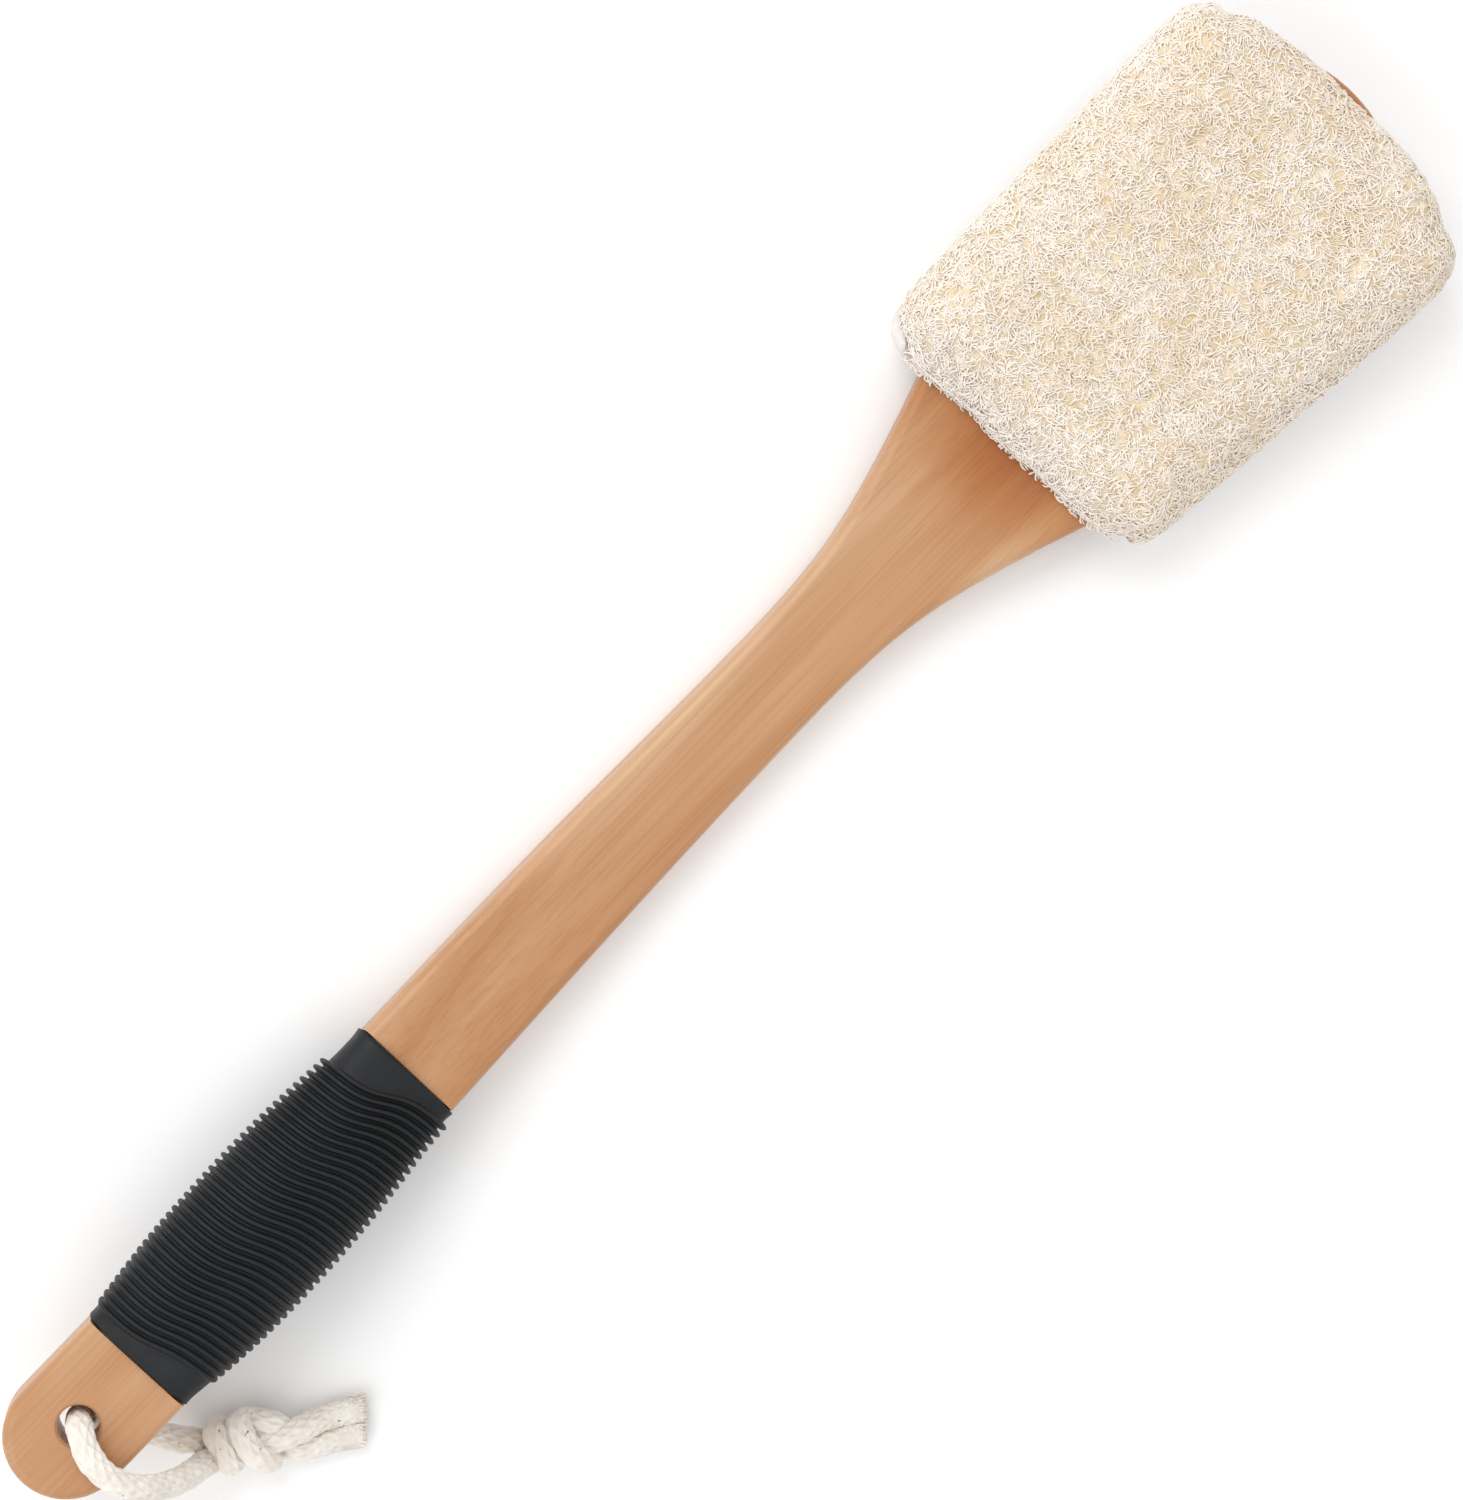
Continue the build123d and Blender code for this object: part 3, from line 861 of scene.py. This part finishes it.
def puff(piece, held):
    """Lets the cloth of a closed form swell a little under pressure. held marks points that stay."""
    rest = np.array([vertex.co for vertex in piece.data.vertices])
    group = piece.vertex_groups.new(name="held")
    group.add(np.nonzero(held)[0].tolist(), 1.0, "REPLACE")
    cloth = piece.modifiers.new("cloth", "CLOTH")
    for setting, value in CLOTH_SETTINGS.items():
        setattr(cloth.settings, setting, value)
    cloth.settings.effector_weights.gravity = 0
    cloth.collision_settings.use_collision = False
    cloth.point_cache.frame_start = 1
    cloth.point_cache.frame_end = CLOTH_FRAMES
    for number in range(1, CLOTH_FRAMES + 1):
        bpy.context.scene.frame_set(number)
    shown = piece.evaluated_get(bpy.context.evaluated_depsgraph_get())
    moved = np.array([vertex.co for vertex in shown.data.vertices]) - rest
    piece.modifiers.remove(cloth)
    bpy.context.scene.frame_set(1)
    far = np.linalg.norm(moved, axis=1, keepdims=True)
    moved *= np.minimum(1, CLOTH_CAP * MM / np.maximum(far, 1e-9))
    piece.data.vertices.foreach_set("co", (rest + moved).astype(np.float32).ravel())
    piece.data.update()
    print(piece.name, "points", len(rest), "swelled by up to", round(float(far.max()) / MM, 2))


def smooth_and_divide(piece, name, repeats):
    soften = piece.modifiers.new("soften", "SMOOTH")
    soften.factor = 0.5
    soften.iterations = repeats
    divide = piece.modifiers.new("divide", "SUBSURF")
    divide.levels = 1
    bpy.context.view_layer.update()
    done = evaluated_copy(piece, name)
    done.data.shade_smooth()
    return done


LIP_PAINT = (0.001, 0.013)  # metres from the pad's lower edge between which the lip's colour fades


def loofah_paint(name, light, dark, lip):
    """Dried plant fibre, cream with tan hollows, and whiter along the open lower lip."""
    paint = Paint(name, 0.85, sheen=0.15, specular=0.2)
    where = paint.place()
    thread = paint.noise(where, 430, 2)
    body = paint.ramp(thread, [(0.32, dark), (0.58, light)])
    patches = paint.ramp(paint.noise(where, 70, 3), [(0.36, "#F8F2E8"), (0.6, "#FFFFFF")])
    body = paint.mix(0.6, body, patches, "MULTIPLY")
    above_lip = paint.span(0, PAD_LOW.x + LIP_PAINT[0], PAD_LOW.x + LIP_PAINT[1])
    paint.color(paint.mix(above_lip, rgb(lip), body))
    paint.bump((paint.noise(where, 1500, 2), 0.00015, 0.6))
    return paint


def cotton_paint():
    paint = Paint("backing_cotton", 0.9, sheen=0.3, specular=0.2)
    where = paint.place()
    weave = paint.cells(paint.place((1500, 1500, 1500)), 1.0)
    paint.color(paint.ramp(paint.noise(where, 90, 3), [(0.3, "#D6D0CC"), (0.7, "#E6E1DC")]))
    paint.bump((weave, 0.00015, 0.6), (paint.noise(where, 240, 3), 0.0003, 0.4))
    return paint


def turned_corner(place):
    """1 at the lower left corner, where the cotton is turned up round the loofah, 0 away from it."""
    return np.exp(-(((place - TURNED_AT) / TURNED_SPREAD) ** 2).sum(1))


def make_loofah():
    place = rim_line()[0]
    over = over_paddle(place[:, 1])
    edge = SEAM_LEVEL + SIDE_EDGE + (CAVITY_TOP + OPEN_EDGE - SEAM_LEVEL - SIDE_EDGE) * over
    right = 1 / (1 + np.exp((place[:, 1] - RIGHT_EDGE) / RIGHT_BLEND))
    inset = CORNER_INSET * turned_corner(place) + RIGHT_INSET * right
    base = rounded_solid("loofah_base", SEAM_LEVEL, edge, PAD_TOP, inset, np.zeros(len(place)))
    mat = cut_and_remesh(base, "loofah_cloth", cavity_box())
    own = off_pad([vertex.co for vertex in mat.data.vertices])
    from_middle = np.abs(own[:, 1] - CAVITY_MIDDLE)
    inside = (from_middle < HELD_HALF_WIDTH) & (own[:, 2] < CAVITY_TOP + HELD_OVER_CAVITY)
    puff(mat, inside | (own[:, 2] < SEAM_LEVEL + HELD_OVER_SEAM))
    return smooth_and_divide(mat, "loofah_mat", 2)


def make_backing():
    place = rim_line()[0]
    flat = np.zeros(len(place))
    wall = TURNED_CORNER * turned_corner(place)
    edge = flat + SEAM_LEVEL - BACKING_EDGE
    base = rounded_solid("backing_base", SEAM_LEVEL, edge, PAD_UNDER, flat, wall)
    cloth = cut_and_remesh(base, "backing_remeshed")
    level = off_pad([vertex.co for vertex in cloth.data.vertices])[:, 2]
    puff(cloth, (level > SEAM_LEVEL - HELD_UNDER_SEAM) | (level < PAD_UNDER + HELD_OVER_UNDERSIDE))
    done = smooth_and_divide(cloth, "cotton_backing", 1)
    points = np.array([vertex.co for vertex in done.data.vertices])
    points[:, 2] = np.maximum(points[:, 2], BACKING_FLOOR_GAP * MM)
    done.data.vertices.foreach_set("co", points.astype(np.float32).ravel())
    return done


def surface_samples(piece, count, wanted, random):
    """Places spread evenly over a mesh, with the surface's direction there. wanted gives faces 1 or 0.
    A place may lie a little off its face."""
    mesh = piece.data
    centres = np.array([face.center for face in mesh.polygons])
    normals = np.array([face.normal for face in mesh.polygons])
    areas = np.array([face.area for face in mesh.polygons])
    weights = areas * wanted(off_pad(centres))
    reached = np.cumsum(weights) / weights.sum()
    chosen = np.searchsorted(reached, (np.arange(count) + random.random(count)) / count)
    corners = np.array([mesh.polygons[int(index)].vertices[:3] for index in chosen])
    points = np.array([vertex.co for vertex in mesh.vertices])
    a, b, c = (points[corners[:, k]] for k in range(3))
    r, q = random.random((2, count, 1))
    return a + (b - a) * r + (c - a) * q * DIAGONAL_SHARE, normals[chosen]


def swirl(places):
    """The direction that fibres follow: it turns fully about once in SWIRL_SIZE."""
    return np.array([2 * pi * noise.noise(Vector(place) / (SWIRL_SIZE * MM)) for place in places])


def lay_fibres(name, surface, roots, normals, random):
    """Short wavy fibres that lie on a surface and arch a little out of it."""
    count = len(roots)
    first = unit(np.cross(normals, ANY_WAY))
    second = np.cross(normals, first)
    angle = swirl(roots) + random.normal(0, FIBRE_SCATTER, count)
    heading = np.cos(angle)[:, None] * first + np.sin(angle)[:, None] * second
    turn = random.normal(0, FIBRE_CURL, count)
    lengths = random.uniform(*FIBRE_LENGTH, count) * MM
    step = (lengths / (FIBRE_POINTS - 1))[:, None]
    path = [roots]
    for _ in range(FIBRE_POINTS - 1):
        wobble = turn + random.normal(0, FIBRE_WOBBLE, count)
        side = np.cross(normals, heading)
        heading = unit(heading * np.cos(wobble)[:, None] + side * np.sin(wobble)[:, None])
        path.append(path[-1] + heading * step)
    path = np.stack(path, 1)
    arch = np.sin(np.linspace(0, pi, FIBRE_POINTS))
    sunk = random.uniform(*FIBRE_DEPTH, (count, 1))
    height = (sunk + FIBRE_LIFT * random.uniform(*FIBRE_ARCH, (count, 1)) * arch) * MM
    lay_on(surface, path, height)
    taper = np.interp(np.linspace(0, 1, FIBRE_POINTS), *FIBRE_TAPER)
    radii = FIBRE_RADIUS * random.uniform(*FIBRE_GIRTH, (count, 1)) * taper * MM
    return fine_tubes(name, path, normals, radii, FIBRE_SIDES)


def lay_on(surface, path, height):
    """Moves each point of each path to its height above the nearest place of the surface."""
    for fibre, heights in zip(path, height):
        for index, point in enumerate(fibre):
            spot, facing, _, _ = surface.find_nearest(point)
            fibre[index] = np.array(spot) + np.array(facing) * heights[index]


def outer_faces(own):
    """1 for places of the pad's own frame on the loofah's outside, 0 in its pocket and underneath."""
    from_middle = np.abs(own[:, 1] - CAVITY_MIDDLE)
    hidden = (from_middle < BARE_HALF_WIDTH) & (own[:, 2] < CAVITY_TOP + BARE_OVER_CAVITY)
    underside = own[:, 2] < SEAM_LEVEL + BARE_OVER_SEAM
    return np.where(hidden | underside, 0.0, 1.0)


def add_loofah_fibres(mat, surface, paint):
    random = np.random.default_rng(21)
    roots, normals = surface_samples(mat, FIBRES, outer_faces, random)
    order = np.argsort(off_pad(roots)[:, 0])
    for number, group in enumerate(np.array_split(order, FIBRE_PIECES)):
        name = f"loofah_fibres_{number + 1}"
        piece = lay_fibres(name, surface, roots[group], normals[group], random)
        finish_with(piece, paint)
        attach(piece, "pad")


def fringe_paths(random):
    """The frayed ends' lines: they fan out over the wood, and rise where they start on the loofah."""
    place, inward, _ = rim_line(FRINGE_STEP)
    lip = (place[:, 0] < LIP_END) & (np.abs(place[:, 1]) < LIP_HALF_WIDTH)
    count = FRINGE_THREADS
    pick = random.integers(0, lip.sum(), count)
    rim, inward = place[lip][pick], inward[lip][pick]
    root = rim + inward * random.uniform(*FRINGE_ROOT, (count, 1))
    angle = np.arctan2(-inward[:, 1], -inward[:, 0]) + random.normal(0, FRINGE_SCATTER, count)
    length = random.uniform(*FRINGE_LENGTH, count)[:, None]
    t = np.linspace(0, 1, len(FRINGE_TAPER))
    bent = angle[:, None] + random.normal(0, FRINGE_CURL, count)[:, None] * t
    x = root[:, 0:1] + np.cos(bent) * length * t
    y = root[:, 1:2] + np.sin(bent) * length * t
    inside = np.clip(x - rim[:, 0:1], 0, None)
    x = np.maximum(x, rim[:, 0:1] - random.uniform(*FRINGE_OVERHANG, (count, 1)))
    z = FRINGE_LEVEL + FRINGE_RISE * np.clip(inside / FRINGE_RISE_LENGTH, 0, 1)
    z = z + random.uniform(*FRINGE_SPREAD, (count, 1))
    return on_pad(np.stack([x, y, z], -1))


def lift_off(surface, paths):
    """Moves the points of paths that are in a surface, or right on it, to a little above it."""
    for number, path in enumerate(paths):
        lift = FRINGE_LIFT + FRINGE_LAYER * (number % FRINGE_LAYERS)
        for point in path:
            spot, facing, _, _ = surface.find_nearest(point)
            spot, facing = np.array(spot), np.array(facing)
            if (point - spot) @ facing < FRINGE_GAP * MM:
                point[:] = spot + facing * lift * MM


def add_fringe(surface, paint):
    """Frayed white ends that stick out over the wood along the open lower lip."""
    random = np.random.default_rng(5)
    paths = fringe_paths(random)
    lift_off(surface, paths)
    radii = random.uniform(*FRINGE_RADIUS, (FRINGE_THREADS, 1)) * np.array(FRINGE_TAPER) * MM
    fringe = fine_tubes("loofah_fringe", paths, np.tile(UP, (FRINGE_THREADS, 1)), radii)
    finish_with(fringe, paint)
    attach(fringe, "pad")


def stitch(spot, inner):
    """One stitch's line in the pad's own frame: along the rim, bowed out of it and slanting down."""
    rim = np.array([-inner[1], inner[0]])
    path = []
    for t in np.linspace(-1, 1, len(STITCH_RADII)):
        place = spot - inner * (STITCH_OUT + STITCH_BOW * (1 - t * t)) + rim * t * STITCH_REACH
        path.append([place[0], place[1], STITCH_LEVEL - STITCH_SLANT * t])
    return path


def add_stitches(paint):
    """Short threads over the seam between loofah and cloth, along both sides."""
    place, inward, _ = rim_line(STITCH_STEP)
    for name, side in (("left_seam", 1), ("right_seam", -1)):
        row = (place[:, 1] * side > SEWN_SIDE) & (place[:, 0] > SEWN_FROM) & (place[:, 0] < SEWN_TO)
        paths = on_pad([stitch(spot, inner) for spot, inner in zip(place[row], inward[row])])
        count = len(paths)
        radii = np.tile(np.array(STITCH_RADII) * MM, (count, 1))
        thread = fine_tubes(name, paths, np.tile(UP, (count, 1)), radii, STITCH_SIDES)
        finish_with(thread, paint)
        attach(thread, "pad")
        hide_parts(name + "_stitches")


def thread_paint():
    paint = Paint("seam_thread", 0.8, sheen=0.2)
    paint.color(paint.ramp(paint.noise(paint.place(), 800, 2), [(0.3, "#E9E3D8"), (0.7, "#F6F2EA")]))
    paint.bump((paint.noise(paint.place((3000, 3000, 3000)), 1.0), 0.00005, 0.5))
    return paint


def add_pad():
    mat = make_loofah()
    finish_with(mat, loofah_paint("loofah_hollows", "#E9DABC", "#D7C09A", "#CDC2B5"))
    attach(mat, "pad")
    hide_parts("loofah_face")
    fibre = loofah_paint("loofah_fibre", "#FFF6EB", "#FBF0E2", "#F4ECE4")
    surface = BVHTree.FromObject(mat, bpy.context.evaluated_depsgraph_get())
    add_loofah_fibres(mat, surface, fibre)
    add_fringe(surface, fibre)
    backing = make_backing()
    finish_with(backing, cotton_paint())
    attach(backing, "pad")
    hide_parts("backing_cloth")
    add_stitches(thread_paint())


add_pad()


# ------------------------------------------------------------------ stage and light

FLOOR_REACH = 3.0
SKY_STRENGTH = 0.84
# name, place, size in metres and power in watts: each aims at the object's middle
LIGHTS = [("key", (0.35, 1.3, 1.5), 1.2, 14), ("fill", (-1.3, 0.2, 1.4), 1.4, 7)]


def add_floor():
    corners = [(FLOOR_REACH * x, FLOOR_REACH * y, 0) for x, y in ((-1, -1), (1, -1), (1, 1), (-1, 1))]
    floor = new_object("floor", corners, [(0, 1, 2, 3)])
    paint = Paint("floor", 0.9, specular=0.1)
    paint.color(paint.ramp(paint.noise(paint.place(), 3, 2), [(0.3, "#FAFAFA"), (0.7, "#FFFFFF")]))
    finish_with(floor, paint)


def add_light(name, place, size, power):
    data = bpy.data.lights.new(name, "AREA")
    data.shape = "SQUARE"
    data.size = size
    data.energy = power
    light = bpy.data.objects.new(name, data)
    bpy.context.scene.collection.objects.link(light)
    light.location = place
    light.rotation_mode = "QUATERNION"
    light.rotation_quaternion = (-Vector(place)).to_track_quat("-Z", "Y")


def add_lights():
    world = bpy.data.worlds.new("studio")
    world.use_nodes = True
    sky = world.node_tree.nodes["Background"]
    sky.inputs["Color"].default_value = (1, 1, 1, 1)
    sky.inputs["Strength"].default_value = SKY_STRENGTH
    bpy.context.scene.world = world
    for light in LIGHTS:
        add_light(*light)


add_floor()
add_lights()
bpy.context.scene.view_settings.view_transform = "Standard"
